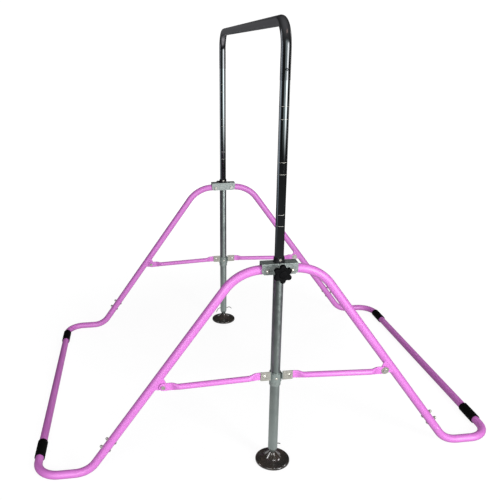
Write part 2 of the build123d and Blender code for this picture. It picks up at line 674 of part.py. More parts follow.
def knob_stud(side):
    """Locking screw, backed off by its travel; its plain tip clamps the upper post."""
    x = side * POST_X
    tip_end = x + side * (UPPER_OD / 2 + 0.05 + KNOB_TRAVEL)
    knee = x + side * STUD_KNEE_X
    seated = x + side * (WASHER_X + LOCK_WASHER[1] + KNOB_BORE)
    tip = rod((tip_end, 0, LOCK_Z), (knee, 0, LOCK_Z), STUD_TIP_R)
    return tip + rod((knee, 0, LOCK_Z), (seated, 0, LOCK_Z), STUD_R)


def knob_washer(side):
    start = side * (POST_X + WASHER_X)
    radius, thickness = LOCK_WASHER
    return tube((start, 0, LOCK_Z), (start + side * thickness, 0, LOCK_Z), radius, STUD_R + 0.05)


# --- All the parts ------------------------------------------------------------------------------------

for side_name, side_sign in SIDES.items():
    parts[f"lower_post_{side_name}"] = lower_post(side_sign)
    parts[f"bracket_{side_name}"] = bracket(side_sign)
    parts[f"post_bush_{side_name}"] = post_bush(side_sign)
    parts[f"foot_disc_{side_name}"] = foot_disc(side_sign)
    parts[f"upper_post_{side_name}"] = upper_post(side_sign)
    parts[f"snap_button_{side_name}"] = snap_button(side_sign)
    parts[f"slider_collar_{side_name}"] = slider_collar(side_sign)
    parts[f"slider_strap_{side_name}"] = slider_strap(side_sign)
    parts[f"slider_rivets_{side_name}"] = slider_rivets(side_sign)
    parts[f"knob_{side_name}"] = knob(side_sign)
    parts[f"knob_stud_{side_name}"] = knob_stud(side_sign)
    parts[f"knob_washer_{side_name}"] = knob_washer(side_sign)
    for end_name, end_sign in ENDS.items():
        parts[f"{end_name}_leg_{side_name}"] = leg(side_sign, end_sign)
        parts[f"{end_name}_elbow_{side_name}"] = elbow(side_sign, end_sign)
        parts[f"{end_name}_link_{side_name}"] = link(side_sign, end_sign)
        parts[f"{end_name}_link_bolt_{side_name}"] = link_bolt(side_sign, end_sign)

for end_name, end_sign in ENDS.items():
    parts[f"{end_name}_base_tube"] = base_tube(end_sign)
    parts[f"{end_name}_couplers"] = couplers(end_sign)
    parts[f"{end_name}_leg_bolts"] = leg_bolts(end_sign)
    parts[f"{end_name}_leg_nuts"] = leg_nuts(end_sign)
    parts[f"{end_name}_link_tabs"] = link_tabs(end_sign)

parts["crossbar"] = crossbar()
parts["post_end_plugs"] = post_end_plugs()
parts["snap_springs"] = snap_springs()
parts["bush_rivets"] = bush_rivets()
parts["pivot_bolts"] = pivot_bolts()
parts["pivot_washers"] = pivot_washers()
parts["lock_nuts"] = lock_nuts()
parts["foot_stems"] = foot_stems()
parts["foot_plugs"] = foot_plugs()
parts["foot_clips"] = foot_clips()

os.makedirs("parts", exist_ok=True)
for name, shape in parts.items():
    solids = shape if isinstance(shape, list) else [shape]
    pieces = [solid for piece in solids for solid in piece.solids()]
    whole = pieces[0] if len(pieces) == 1 else Compound(children=pieces)
    export_step(whole, f"parts/{name}.step")
print(len(parts), "nodes; legs at", round(degrees(SLOPE), 2), "degrees from vertical")
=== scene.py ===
"""Looks of the folding kip bar: finishes, detailed pieces, studio and camera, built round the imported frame.

Metres, X along the bar, Z up, floor at z = 0. Every piece keeps its place in its own mesh, as the frame's
nodes do, so that Object coordinates mean the same in every material.
"""

import json
import math

import bmesh
import bpy
from mathutils import Matrix, Vector

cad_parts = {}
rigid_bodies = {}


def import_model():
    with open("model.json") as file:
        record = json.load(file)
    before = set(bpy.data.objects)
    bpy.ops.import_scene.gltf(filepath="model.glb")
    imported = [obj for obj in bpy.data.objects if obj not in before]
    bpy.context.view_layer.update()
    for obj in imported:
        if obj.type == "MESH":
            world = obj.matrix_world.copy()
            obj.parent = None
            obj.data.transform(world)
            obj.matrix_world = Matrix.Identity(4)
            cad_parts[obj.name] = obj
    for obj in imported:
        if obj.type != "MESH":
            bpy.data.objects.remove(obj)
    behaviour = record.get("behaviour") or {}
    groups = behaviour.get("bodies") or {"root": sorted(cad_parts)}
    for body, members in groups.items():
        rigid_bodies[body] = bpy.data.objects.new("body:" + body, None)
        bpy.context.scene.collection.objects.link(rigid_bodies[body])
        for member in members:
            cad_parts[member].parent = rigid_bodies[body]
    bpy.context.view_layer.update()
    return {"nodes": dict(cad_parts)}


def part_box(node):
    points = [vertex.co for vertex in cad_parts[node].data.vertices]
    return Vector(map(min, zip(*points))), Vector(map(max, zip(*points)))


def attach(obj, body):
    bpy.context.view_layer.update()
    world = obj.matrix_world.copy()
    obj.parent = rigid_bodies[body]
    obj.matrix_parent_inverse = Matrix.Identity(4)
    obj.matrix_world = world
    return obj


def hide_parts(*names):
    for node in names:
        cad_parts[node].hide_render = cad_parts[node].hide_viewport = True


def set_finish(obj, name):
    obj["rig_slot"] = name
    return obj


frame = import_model()
nodes = frame["nodes"]

SIDES = {"left": -1, "right": 1}
ENDS = {"front": -1, "back": 1}


def middle_of(name):
    """The middle of a CAD node's box at rest."""
    low, high = (Vector(corner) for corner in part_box(name))
    return (low + high) / 2


POST_X = middle_of("lower_post_right").x
LOCK_Z = middle_of("knob_stud_right").z
MARK_PITCH = 0.161       # height marks on the upper posts, counted up from the locking screw
MARK_HALF_GAP = 0.018
PINK_R = 0.01525
SLOPE = math.atan2(0.540, 0.736)   # the legs' angle from vertical
SEAM_Y = 0.6233          # where each leg meets its elbow
SEAM_Z = 0.0827
MARKS = 3                # pairs of height marks on each upper post
GROOVE_DEPTH = 0.0003    # how far below the post's skin the marks start
KNOB_LOBES = 6
KNOB_VALLEY = 0.0083     # how deep the hollows between the lobes are
SHADE_BAND_HALF_WIDTH = 0.020  # half the width of the part of a slider's strap that wraps round the post, where its colour is painted darker as shade


# --- Materials ------------------------------------------------------------------------------------------

class Shader:
    """A node material that starts as one Principled BSDF, with short calls for what is added to it."""

    def __init__(self, name, metallic=0.0, **constants):
        self.material = bpy.data.materials.new(name)
        self.material.use_nodes = True
        self.tree = self.material.node_tree
        self.bsdf = self.tree.nodes["Principled BSDF"]
        self.bsdf.inputs["Metallic"].default_value = metallic
        for socket, value in constants.items():
            self.bsdf.inputs[socket.replace("_", " ")].default_value = value
        self.coords = self.tree.nodes.new("ShaderNodeTexCoord").outputs["Object"]

    def node(self, kind, **settings):
        made = self.tree.nodes.new(kind)
        for key, value in settings.items():
            setattr(made, key, value)
        return made

    def link(self, source, target):
        self.tree.links.new(source, target)

    def stretched(self, scale):
        """Object coordinates multiplied by a scale for each axis."""
        mapping = self.node("ShaderNodeMapping")
        mapping.inputs["Scale"].default_value = scale
        self.link(self.coords, mapping.inputs["Vector"])
        return mapping.outputs["Vector"]

    def noise(self, scale, detail=3.0, vector=None, roughness=0.5):
        made = self.node("ShaderNodeTexNoise")
        made.inputs["Scale"].default_value = scale
        made.inputs["Detail"].default_value = detail
        made.inputs["Roughness"].default_value = roughness
        self.link(vector or self.coords, made.inputs["Vector"])
        return made.outputs["Fac"]

    def cells(self, scale, vector=None):
        made = self.node("ShaderNodeTexVoronoi")
        made.inputs["Scale"].default_value = scale
        self.link(vector or self.coords, made.inputs["Vector"])
        return made

    def spread(self, value, low, high, start=0.3, stop=0.7):
        """Maps a 0 to 1 value onto the range from low to high."""
        made = self.node("ShaderNodeMapRange")
        made.inputs["From Min"].default_value = start
        made.inputs["From Max"].default_value = stop
        made.inputs["To Min"].default_value = low
        made.inputs["To Max"].default_value = high
        self.link(value, made.inputs["Value"])
        return made.outputs["Result"]

    def ramp(self, value, stops):
        """A colour ramp: stops is a list of (place, (r, g, b))."""
        made = self.node("ShaderNodeValToRGB")
        elements = made.color_ramp.elements
        while len(elements) < len(stops):
            elements.new(0.5)
        for element, (place, colour) in zip(elements, stops):
            element.position = place
            element.color = (*colour, 1.0)
        self.link(value, made.inputs["Fac"])
        return made.outputs["Color"]

    def mix(self, factor, a, b):
        made = self.node("ShaderNodeMix", data_type="RGBA")
        self.link(factor, made.inputs["Factor"])
        for value, socket in ((a, made.inputs["A"]), (b, made.inputs["B"])):
            if isinstance(value, tuple):
                socket.default_value = (*value, 1.0)
            else:
                self.link(value, socket)
        return made.outputs["Result"]

    def colour(self, source):
        self.link(source, self.bsdf.inputs["Base Color"])

    def roughness(self, source):
        self.link(source, self.bsdf.inputs["Roughness"])

    def bump(self, height, strength, distance):
        """Adds a bump layer on top of any that is already there."""
        made = self.node("ShaderNodeBump")
        made.inputs["Strength"].default_value = strength
        made.inputs["Distance"].default_value = distance
        self.link(height, made.inputs["Height"])
        normal = self.bsdf.inputs["Normal"]
        if normal.links:
            self.link(normal.links[0].from_socket, made.inputs["Normal"])
        self.link(made.outputs["Normal"], normal)


def pink_paint():
    """Glossy powder coat under a tinted lacquer: faint orange peel, soft clouds of shade, a few dust nibs."""
    s = Shader("pink_paint", Specular_IOR_Level=0.85, Coat_Weight=0.50, Coat_Roughness=0.42)
    s.bsdf.inputs["Coat Tint"].default_value = (0.86, 0.62, 0.78, 1.0)
    clouds = s.noise(9.0, detail=2.0)
    tint = s.ramp(clouds, [(0.3, (0.69, 0.215, 0.680)), (0.7, (0.74, 0.245, 0.73))])
    specks = s.spread(s.noise(900.0, detail=1.0), 0.0, 0.10, 0.66, 0.78)
    s.colour(s.mix(specks, tint, (0.84, 0.34, 0.84)))
    s.roughness(s.spread(s.noise(45.0), 0.44, 0.54))
    s.bump(s.noise(300.0, detail=1.0), 0.01, 0.0002)
    return s.material


def zinc_tube():
    """Satin zinc-plated tube: drawn lines along its length, passivation clouds, faint handling marks."""
    s = Shader("zinc_tube", metallic=0.92)
    drawn = s.noise(260.0, detail=3.0, vector=s.stretched((1.0, 1.0, 0.012)))
    clouds = s.noise(16.0, detail=4.0)
    tint = s.ramp(clouds, [(0.32, (0.35, 0.405, 0.39)), (0.68, (0.43, 0.48, 0.46))])
    s.colour(s.mix(s.spread(drawn, 0.0, 0.30), tint, (0.36, 0.40, 0.385)))
    s.roughness(s.spread(s.noise(70.0, detail=4.0), 0.30, 0.44))
    s.bump(drawn, 0.10, 0.0004)
    return s.material


def chrome(name, base, low, high):
    """Bright plate: smears and hairlines show mostly in the roughness."""
    s = Shader(name, metallic=1.0)
    smears = s.noise(24.0, detail=4.0, vector=s.stretched((1.0, 1.0, 0.25)))
    hairlines = s.noise(900.0, detail=1.0, vector=s.stretched((1.0, 1.0, 0.02)))
    dark = tuple(0.93 * c for c in base)
    s.colour(s.ramp(smears, [(0.3, dark), (0.7, base)]))
    s.roughness(s.spread(smears, low, high))
    s.bump(hairlines, 0.006, 0.0002)
    return s.material


def zinc_hardware():
    """Bright zinc on screws, rivets and wire, slightly yellowed in patches."""
    s = Shader("zinc_hardware", metallic=0.75)
    clouds = s.noise(90.0, detail=3.0)
    s.colour(s.ramp(clouds, [(0.3, (0.46, 0.44, 0.38)), (0.7, (0.66, 0.66, 0.62))]))
    s.roughness(s.spread(s.noise(400.0), 0.28, 0.44))
    s.bump(s.noise(1500.0, detail=1.0), 0.06, 0.0003)
    return s.material


def zinc_pressing(name, metallic, dull, bright, band=None):
    """Galvanised sheet: spangle crystals and a dull bloom. An optional band colour paints shade and dark
    reflection where the sheet wraps round the post.
    """
    s = Shader(name, metallic=metallic)
    spangle = s.cells(210.0)
    crystal = s.node("ShaderNodeSeparateColor")
    s.link(spangle.outputs["Color"], crystal.inputs["Color"])
    tint = s.ramp(crystal.outputs["Red"], [(0.0, dull), (1.0, bright)])
    bloom = s.spread(s.noise(60.0, detail=4.0), 0.0, 0.6)
    sheet = s.mix(bloom, tint, tuple(0.5 * (a + b) for a, b in zip(dull, bright)))
    # Painted shade: where the sheet wraps round the post it takes the darker, greener band colour, standing
    # in for the shade and dark reflection on that curve.
    if band:
        axes = s.node("ShaderNodeSeparateXYZ")
        s.link(s.coords, axes.inputs[0])
        sideways = s.node("ShaderNodeMath", operation="ABSOLUTE")
        s.link(axes.outputs["Y"], sideways.inputs[0])
        painted_shade_mask = s.spread(sideways.outputs["Value"], 1.0, 0.0, SHADE_BAND_HALF_WIDTH, SHADE_BAND_HALF_WIDTH + 0.004)
        sheet = s.mix(painted_shade_mask, sheet, band)
    s.colour(sheet)
    s.roughness(s.spread(crystal.outputs["Green"], 0.36, 0.52, 0.0, 1.0))
    s.bump(s.noise(700.0, detail=2.0), 0.08, 0.0003)
    return s.material


def moulded(name, colour, low, high, grain):
    """Black moulding with a fine spark-eroded grain and slightly polished patches."""
    s = Shader(name, Specular_IOR_Level=0.08)
    light = tuple(2.2 * c for c in colour)
    s.colour(s.ramp(s.noise(130.0, detail=3.0), [(0.35, colour), (0.75, light)]))
    s.roughness(s.spread(s.noise(85.0, detail=3.0), low, high))
    s.bump(s.noise(grain, detail=2.0), 0.22, 0.0004)
    return s.material


def dark_pressed_steel():
    """Black stove enamel on a pressed plate: deep gloss, warm brown in places, a faint fine ripple in the
    bump.
    """
    s = Shader("dark_pressed_steel", Coat_Weight=0.6, Coat_Roughness=0.06)
    warm = s.noise(30.0, detail=3.0)
    s.colour(s.ramp(warm, [(0.3, (0.012, 0.011, 0.010)), (0.7, (0.030, 0.023, 0.018))]))
    s.roughness(s.spread(s.noise(120.0, detail=3.0), 0.12, 0.26))
    s.bump(s.noise(240.0, detail=2.0), 0.05, 0.0005)
    return s.material


def nylon():
    """Off-white nylon with a soft, slightly uneven skin."""
    s = Shader("nylon", Subsurface_Weight=0.05)
    s.colour(s.ramp(s.noise(200.0), [(0.3, (0.62, 0.61, 0.56)), (0.7, (0.74, 0.73, 0.68))]))
    s.roughness(s.spread(s.noise(300.0), 0.40, 0.55))
    s.bump(s.noise(1200.0, detail=1.0), 0.10, 0.0003)
    return s.material


MATERIALS = {
    "pink_paint": pink_paint(),
    "zinc_tube": zinc_tube(),
    "zinc_hardware": zinc_hardware(),
    "zinc_pressing": zinc_pressing("zinc_pressing", 0.60, (0.25, 0.29, 0.28), (0.38, 0.42, 0.40)),
    "post_chrome": chrome("post_chrome", (0.66, 0.70, 0.72), 0.03, 0.07),
    "bar_chrome": chrome("bar_chrome", (0.52, 0.52, 0.54), 0.10, 0.16),
    "black_plastic": moulded("black_plastic", (0.008, 0.008, 0.009), 0.32, 0.48, 1500.0),
    "knob_plastic": moulded("knob_plastic", (0.0015, 0.0015, 0.0018), 0.50, 0.68, 1100.0),
    "black_rubber": moulded("black_rubber", (0.0018, 0.0018, 0.0018), 0.60, 0.80, 800.0),
    "dark_pressed_steel": dark_pressed_steel(),
    "nylon": nylon(),
}


def carry_over(name, slot):
    """A CAD node that is shown as it is, in its finish."""
    made = nodes[name]
    made.data.materials.clear()
    made.data.materials.append(MATERIALS[slot])
    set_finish(made, slot)


for cad_name, cad_object in nodes.items():
    carry_over(cad_name, cad_object.data.materials[0].name.split(".")[0])


# --- Detailed pieces --------------------------------------------------------------------------------------

def lofted(name, rings, slot, body, replaced=(), capped=True):
    """A piece skinned over rings that all have as many points; capped fills the two ends."""
    count = len(rings[0])
    points = [tuple(point) for ring in rings for point in ring]
    faces = []
    for row in range(len(rings) - 1):
        for column in range(count):
            after = (column + 1) % count
            low, high = row * count, (row + 1) * count
            faces.append((low + column, low + after, high + after, high + column))
    if capped:
        faces.append(tuple(reversed(range(count))))
        faces.append(tuple(range((len(rings) - 1) * count, len(rings) * count)))
    mesh = bpy.data.meshes.new(name)
    mesh.from_pydata(points, [], faces)
    shaped = bmesh.new()
    shaped.from_mesh(mesh)
    bmesh.ops.recalc_face_normals(shaped, faces=shaped.faces)
    shaped.to_mesh(mesh)
    shaped.free()
    mesh.shade_smooth()
    made = bpy.data.objects.new(name, mesh)
    bpy.context.scene.collection.objects.link(made)
    mesh.materials.append(MATERIALS[slot])
    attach(made, body)
    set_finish(made, slot)
    if replaced:
        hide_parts(*replaced)
    return made


def smoothed(obj):
    """Rounds a low-resolution cage by subdivision."""
    rounded = obj.modifiers.new("rounded", "SUBSURF")
    rounded.levels = 2
    rounded.render_levels = 2


def star_knob(side_name, side):
    """Six-lobed knob with a rounded rim, a dished face and a raised cap."""
    low, high = (Vector(corner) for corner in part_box(f"knob_{side_name}"))
    middle = (low + high) / 2
    lobe_r = (high.z - low.z) / 2
    length = high.x - low.x
    start = low.x if side > 0 else high.x
    boss = 0.0050
    lobed = length - boss - 0.0016
    # (place along the axis, radius, share of the lobes' depth)
    profile = [(0.0, 0.0054, 0.0), (0.0, 0.0088, 0.0), (0.0008, 0.0100, 0.0), (boss - 0.0006, 0.0102, 0.0),
               (boss, 0.0112, 0.0), (boss, 0.0190, 0.35), (boss + 0.0002, lobe_r - 0.0030, 0.90),
               (boss + 0.0018, lobe_r - 0.0007, 1.0), (boss + 0.0045, lobe_r, 1.0),
               (boss + lobed - 0.0055, lobe_r, 1.0), (boss + lobed - 0.0022, lobe_r - 0.0008, 1.0),
               (boss + lobed - 0.0004, lobe_r - 0.0036, 0.92), (boss + lobed - 0.0004, lobe_r - 0.0075, 0.70),
               (boss + lobed - 0.0012, 0.0160, 0.15), (boss + lobed - 0.0014, 0.0127, 0.0),
               (boss + lobed - 0.0012, 0.0121, 0.0), (length - 0.0004, 0.0117, 0.0), (length, 0.0106, 0.0),
               (length - 0.0003, 0.0040, 0.0), (length - 0.0004, 0.0006, 0.0)]
    count = 144
    rings = []
    for along, radius, share in profile:
        ring = []
        for step in range(count):
            angle = 2 * math.pi * step / count
            dip = ((1 - math.cos(KNOB_LOBES * angle)) / 2) ** 1.5
            r = radius - share * KNOB_VALLEY * dip
            y, z = middle.y + r * math.sin(angle), middle.z + r * math.cos(angle)
            ring.append((start + side * along, y, z))
        rings.append(ring)
    name = f"star_knob_{side_name}"
    lofted(name, rings, "knob_plastic", f"knob_{side_name}", [f"knob_{side_name}"])


def threaded_stud(side_name, side):
    """Locking screw with a real helical thread and a plain tip."""
    low, high = (Vector(corner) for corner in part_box(f"knob_stud_{side_name}"))
    middle = (low + high) / 2
    start, stop = (low.x, high.x) if side > 0 else (high.x, low.x)
    length = abs(stop - start)
    pitch, crest, depth, tip_r, tip = 0.0015, 0.0050, 0.00085, 0.0043, 0.0024
    count = 40
    stations = int(length / (pitch / 8))
    rings = []
    for station in range(stations + 1):
        along = length * station / stations
        ring = []
        for step in range(count):
            angle = 2 * math.pi * step / count
            turn = (along / pitch + step / count) % 1.0
            r = crest - depth * abs(2 * turn - 1)
            if along < tip:
                r = tip_r - max(0.0, 0.0008 - along)
            y, z = middle.y + r * math.cos(angle), middle.z + r * math.sin(angle)
            ring.append((start + side * along, y, z))
        rings.append(ring)
    name = f"threaded_stud_{side_name}"
    lofted(name, rings, "zinc_hardware", f"knob_{side_name}", [f"knob_stud_{side_name}"])


def bell_foot(side_name):
    """Bell-shaped foot: rolled rim, thick brim and a steep hub, smoothed by subdivision."""
    node = f"foot_disc_{side_name}"
    middle = middle_of(node)
    # (radius, height), from inside the rim's lower edge up to the top of the hub
    profile = [(0.0510, 0.0), (0.0600, 0.0), (0.0628, 0.0012), (0.0630, 0.0050), (0.0626, 0.0088),
               (0.0600, 0.0110), (0.0520, 0.0124), (0.0420, 0.0138), (0.0345, 0.0156), (0.0290, 0.0190),
               (0.0235, 0.0240), (0.0180, 0.0298), (0.0138, 0.0350), (0.0112, 0.0386), (0.0100, 0.0398),
               (0.0052, 0.0400)]
    count = 64
    rings = []
    for radius, height in profile:
        ring = []
        for step in range(count):
            angle = 2 * math.pi * step / count
            ring.append((middle.x + radius * math.cos(angle), middle.y + radius * math.sin(angle), height))
        rings.append(ring)
    made = lofted(f"bell_foot_{side_name}", rings, "dark_pressed_steel", "posts", [node], capped=False)
    smoothed(made)


def pressed_link(side_name, end_name):
    """Tube whose ends are pressed flat: a sharp crease where the flat starts, then a flare into the tube."""
    node = f"{end_name}_link_{side_name}"
    low, high = (Vector(corner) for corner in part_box(node))
    end = ENDS[end_name]
    eye_r, tube_r, flat, flare = 0.0140, 0.01025, 0.0255, 0.0300
    eye_x = middle_of(f"lower_post_{side_name}").x + 0.0182
    tube_x = high.x - tube_r
    inner = Vector((0, end * (min(abs(low.y), abs(high.y)) + eye_r), high.z - eye_r))
    outer = Vector((0, end * (max(abs(low.y), abs(high.y)) - eye_r), low.z + eye_r))
    way = (outer - inner).normalized()
    across = Vector((0, -way.z, way.y))
    length = (outer - inner).length
    count = 48

    def ring_at(along):
        beyond = max(-along, along - length)
        from_eye = min(along, length - along)
        swell = min(1.0, max(0.0, (from_eye - flat) / flare))
        eased = swell * swell * (3 - 2 * swell)
        width = eye_r + (tube_r - eye_r) * eased
        if beyond > 0:
            width = math.sqrt(max(0.0, eye_r ** 2 - beyond ** 2))
        thickness = 0.0025 + (tube_r - 0.0025) * (0.55 * swell + 0.45 * eased)
        squareness = 7.0 - 5.0 * min(1.0, swell * 1.6)
        centre = eye_x + (tube_x - eye_x) * eased
        ring = []
        for step in range(count):
            angle = 2 * math.pi * step / count
            c, s = math.cos(angle), math.sin(angle)
            dx = thickness * math.copysign(abs(c) ** (2 / squareness), c)
            dw = width * math.copysign(abs(s) ** (2 / squareness), s)
            ring.append(inner + way * along + across * dw + Vector((centre + dx, 0, 0)))
        return ring

    round_end = [0.0, 0.35, 0.6, 0.8, 0.92, 0.985]
    stations = [-eye_r * share for share in reversed(round_end)]
    stations += [flat * share for share in (0.3, 0.6, 0.9, 0.99, 1.0)]
    stations += [flat + flare * step / 14 for step in range(1, 15)]
    stations += [length - place for place in reversed(stations)]
    name = f"pressed_link_{end_name}_{side_name}"
    lofted(name, [ring_at(along) for along in stations], "pink_paint", node, [node])


def bead_round(name, centre, way, radius, bead, slot, body):
    """A thin half-round bead lying round a tube at the given point, square to way."""
    way = Vector(way).normalized()
    first = way.cross(Vector((1, 0, 0)))
    first = (first if first.length > 0.1 else way.cross(Vector((0, 1, 0)))).normalized()
    second = way.cross(first)
    rings = []
    for station in range(9):
        turn = math.pi * station / 8
        r = radius + bead * math.sin(turn)
        middle = Vector(centre) - way * bead * math.cos(turn)
        spokes = (2 * math.pi * step / 96 for step in range(96))
        rings.append([middle + (first * math.cos(a) + second * math.sin(a)) * r for a in spokes])
    lofted(name, rings, slot, body, capped=False)


def height_marks(side_name):
    """Bright burnished lines in the rolled grooves that mark the heights."""
    low, high = (Vector(corner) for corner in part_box(f"upper_post_{side_name}"))
    middle = (low + high) / 2
    radius = (high.x - low.x) / 2 - GROOVE_DEPTH
    for step in range(1, MARKS + 1):
        for half, way in (("lower", -1), ("upper", 1)):
            z = LOCK_Z + step * MARK_PITCH + way * MARK_HALF_GAP
            name = f"height_mark_{side_name}_{step}_{half}"
            bead_round(name, (middle.x, middle.y, z), (0, 0, 1), radius, 0.0006, "zinc_hardware", "bar")


def leg_seams(side_name, side, end_name):
    """The worn, bare edge where the leg meets its elbow."""
    end = ENDS[end_name]
    way = (0, -end * math.sin(SLOPE), math.cos(SLOPE))
    name = f"seam_{end_name}_{side_name}"
    place = (side * POST_X, end * SEAM_Y, SEAM_Z)
    bead_round(name, place, way, PINK_R - 0.00025, 0.0005, "zinc_hardware", f"{end_name}_frame")


for side_name, side_sign in SIDES.items():
    star_knob(side_name, side_sign)
    threaded_stud(side_name, side_sign)
    bell_foot(side_name)
    height_marks(side_name)
    for end_name in ENDS:
        pressed_link(side_name, end_name)
        leg_seams(side_name, side_sign, end_name)


def eased_edges(name, width):
    """Rounds the sharp edges of a CAD node for the light to catch."""
    edge = nodes[name].modifiers.new("eased", "BEVEL")
    edge.width = width
    edge.segments = 2
    edge.limit_method = "ANGLE"
    edge.angle_limit = math.radians(40)
    edge.harden_normals = True


# The straps' band colour is painted shade: a darker, greener tone where they wrap round the post, standing in
# for the shade and dark reflection on that curve.
strap_zinc = zinc_pressing("strap_zinc", 0.35, (0.30, 0.295, 0.26), (0.44, 0.43, 0.385),
                           band=(0.25, 0.29, 0.275))
nodes["foot_clips"].data.materials[0] = chrome("spring_steel", (0.045, 0.045, 0.04), 0.30, 0.45)
for side_name in SIDES:
    nodes[f"slider_strap_{side_name}"].data.materials[0] = strap_zinc
    eased_edges(f"bracket_{side_name}", 0.0005)
    eased_edges(f"slider_strap_{side_name}", 0.0004)


# --- Studio ---------------------------------------------------------------------------------------------

def point_at(obj, target):
    obj.rotation_mode = "QUATERNION"
    obj.rotation_quaternion = (Vector(target) - obj.location).to_track_quat("-Z", "Y")


def softbox(name, place, target, width, height, power, mirrored=False):
    """An area light; mirrored ones also show as reflections in bright metal."""
    light = bpy.data.lights.new(name, "AREA")
    light.shape = "RECTANGLE"
    light.size = width
    light.size_y = height
    light.energy = power
    made = bpy.data.objects.new(name, light)
    bpy.context.scene.collection.objects.link(made)
    made.location = place
    made.visible_camera = False
    made.visible_glossy = mirrored
    point_at(made, target)
    return made


def floor():
    """White to the camera, with faint shadows. To everything else it is a pool of light round the feet."""
    half = 9.0
    mesh = bpy.data.meshes.new("floor")
    corners = [(-half, -half, 0), (half, -half, 0), (half, half, 0), (-half, half, 0)]
    mesh.from_pydata(corners, [], [(0, 1, 2, 3)])
    made = bpy.data.objects.new("floor", mesh)
    bpy.context.scene.collection.objects.link(made)
    made.location.z = -0.0005
    s = Shader("floor_white", Roughness=0.8)
    s.bsdf.inputs["Specular IOR Level"].default_value = 0.0
    s.colour(s.ramp(s.noise(3.0), [(0.3, (0.14, 0.14, 0.14)), (0.7, (0.15, 0.15, 0.15))]))
    s.bsdf.inputs["Emission Color"].default_value = (1.0, 1.0, 1.0, 1.0)
    feet = []
    for sign in SIDES.values():
        away = s.node("ShaderNodeVectorMath", operation="DISTANCE")
        s.link(s.coords, away.inputs[0])
        away.inputs[1].default_value = (sign * POST_X, 0.0, 0.0)
        feet.append(away.outputs["Value"])
    nearest = s.node("ShaderNodeMath", operation="MINIMUM")
    s.link(feet[0], nearest.inputs[0])
    s.link(feet[1], nearest.inputs[1])
    near_by = nearest.outputs["Value"]
    s.link(s.spread(near_by, 0.90, 1.02, 0.5, 2.4), s.bsdf.inputs["Emission Strength"])
    pool = s.node("ShaderNodeEmission")
    s.link(s.spread(near_by, 0.62, 0.10, 0.05, 1.30), pool.inputs["Strength"])
    open_air = s.node("ShaderNodeBsdfTransparent")
    bounce = s.node("ShaderNodeMixShader")
    s.link(s.spread(near_by, 0.0, 1.0, 0.85, 1.45), bounce.inputs["Fac"])
    s.link(pool.outputs[0], bounce.inputs[1])
    s.link(open_air.outputs[0], bounce.inputs[2])
    path = s.node("ShaderNodeLightPath")
    choose = s.node("ShaderNodeMixShader")
    s.link(path.outputs["Is Camera Ray"], choose.inputs["Fac"])
    s.link(bounce.outputs[0], choose.inputs[1])
    s.link(s.bsdf.outputs[0], choose.inputs[2])
    s.link(choose.outputs[0], s.tree.nodes["Material Output"].inputs["Surface"])
    mesh.materials.append(s.material)


def world_strip(tree, azimuth, half_width, low, high, colour, strength):
    """A soft upright band of light: azimuth in degrees from +X towards +Y, low and high as sines."""
    def node(kind, **settings):
        made = tree.nodes.new(kind)
        for key, value in settings.items():
            setattr(made, key, value)
        return made

    direction = tree.nodes["Direction"].outputs
    toward = Vector((math.cos(math.radians(azimuth)), math.sin(math.radians(azimuth)), 0.0))
    level = node("ShaderNodeVectorMath", operation="MULTIPLY")
    tree.links.new(direction["Generated"], level.inputs[0])
    level.inputs[1].default_value = (1.0, 1.0, 0.0)
    heading = node("ShaderNodeVectorMath", operation="NORMALIZE")
    tree.links.new(level.outputs["Vector"], heading.inputs[0])
    dot = node("ShaderNodeVectorMath", operation="DOT_PRODUCT")
    tree.links.new(heading.outputs["Vector"], dot.inputs[0])
    dot.inputs[1].default_value = toward
    across = node("ShaderNodeMapRange", interpolation_type="SMOOTHSTEP")
    across.inputs["From Min"].default_value = math.cos(math.radians(half_width * 1.5))
    across.inputs["From Max"].default_value = math.cos(math.radians(half_width * 0.7))
    tree.links.new(dot.outputs["Value"], across.inputs["Value"])
    split = node("ShaderNodeSeparateXYZ")
    tree.links.new(direction["Generated"], split.inputs[0])
    above = node("ShaderNodeMapRange", interpolation_type="SMOOTHSTEP")
    above.inputs["From Min"].default_value = low - 0.05
    above.inputs["From Max"].default_value = low + 0.05
    tree.links.new(split.outputs["Z"], above.inputs["Value"])
    below = node("ShaderNodeMapRange", interpolation_type="SMOOTHSTEP")
    below.inputs["From Min"].default_value = high + 0.08
    below.inputs["From Max"].default_value = high - 0.08
    tree.links.new(split.outputs["Z"], below.inputs["Value"])
    both = node("ShaderNodeMath", operation="MULTIPLY")
    tree.links.new(above.outputs["Result"], both.inputs[0])
    tree.links.new(below.outputs["Result"], both.inputs[1])
    mask = node("ShaderNodeMath", operation="MULTIPLY")
    tree.links.new(both.outputs["Value"], mask.inputs[0])
    tree.links.new(across.outputs["Result"], mask.inputs[1])
    scaled = node("ShaderNodeVectorMath", operation="SCALE")
    scaled.inputs[0].default_value = [c * strength for c in colour]
    tree.links.new(mask.outputs["Value"], scaled.inputs["Scale"])
    return scaled.outputs["Vector"]


